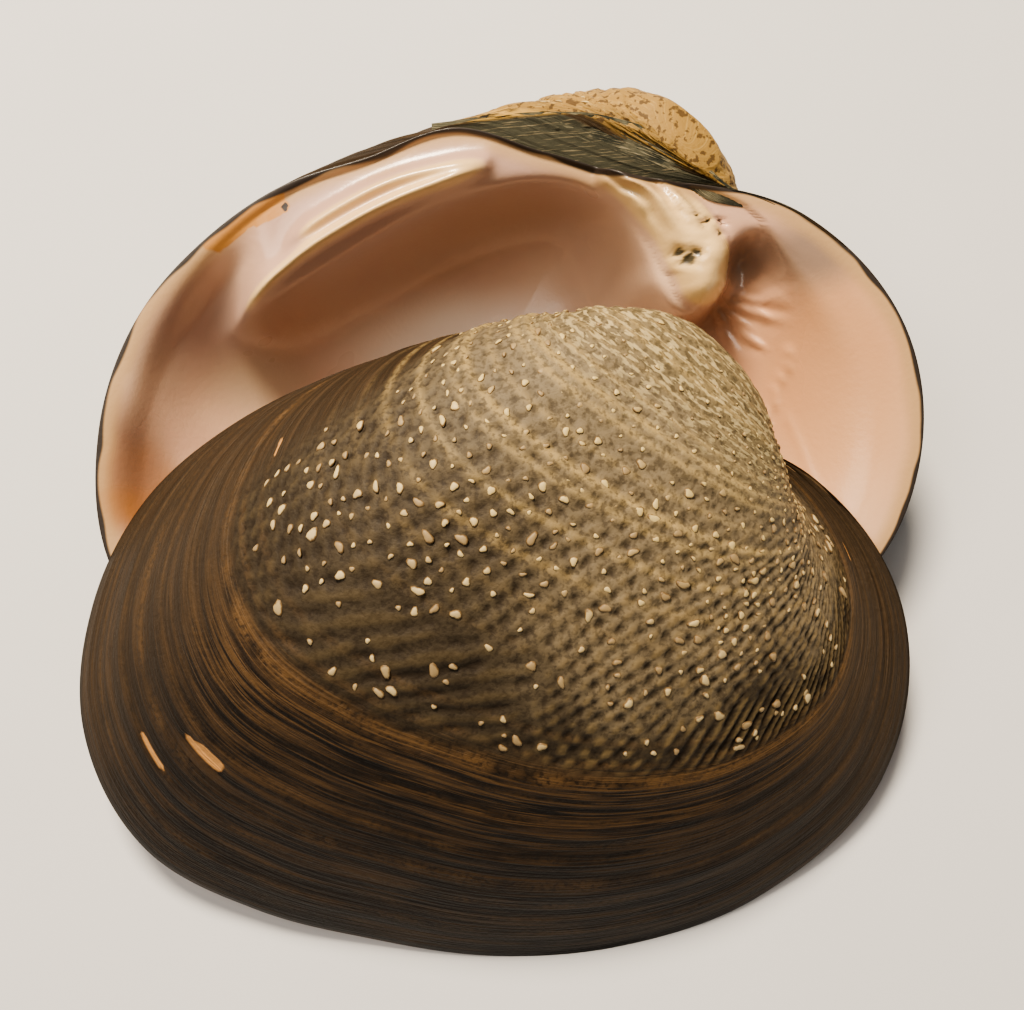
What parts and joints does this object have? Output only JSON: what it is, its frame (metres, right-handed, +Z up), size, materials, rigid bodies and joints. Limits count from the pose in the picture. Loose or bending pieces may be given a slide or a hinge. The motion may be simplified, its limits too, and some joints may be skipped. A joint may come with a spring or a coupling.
{
  "type": "freshwater mussel shell",
  "caption": "Dried freshwater mussel shell, its halves apart: one lies open on its back, the other leans over it with the knobbly outside up.",
  "frame": {"origin": "centre of the footprint, on the surface the shell lies on", "axes": "+X to the front end of the shell, -Y to the leaning valve's free edge, +Z up"},
  "size_m": [0.109, 0.11, 0.0458],
  "materials": {
    "left_shell": "glossy mother of pearl inside, dark horny skin outside",
    "right_shell": "satin dark horny skin with worn pale bumps",
    "ligament_strip": "dry and fibrous"
  },
  "bodies": {
    "root": {"left_valve": "left_shell", "right_valve": "right_shell", "ligament": "ligament_strip"}
  },
  "joints": []
}
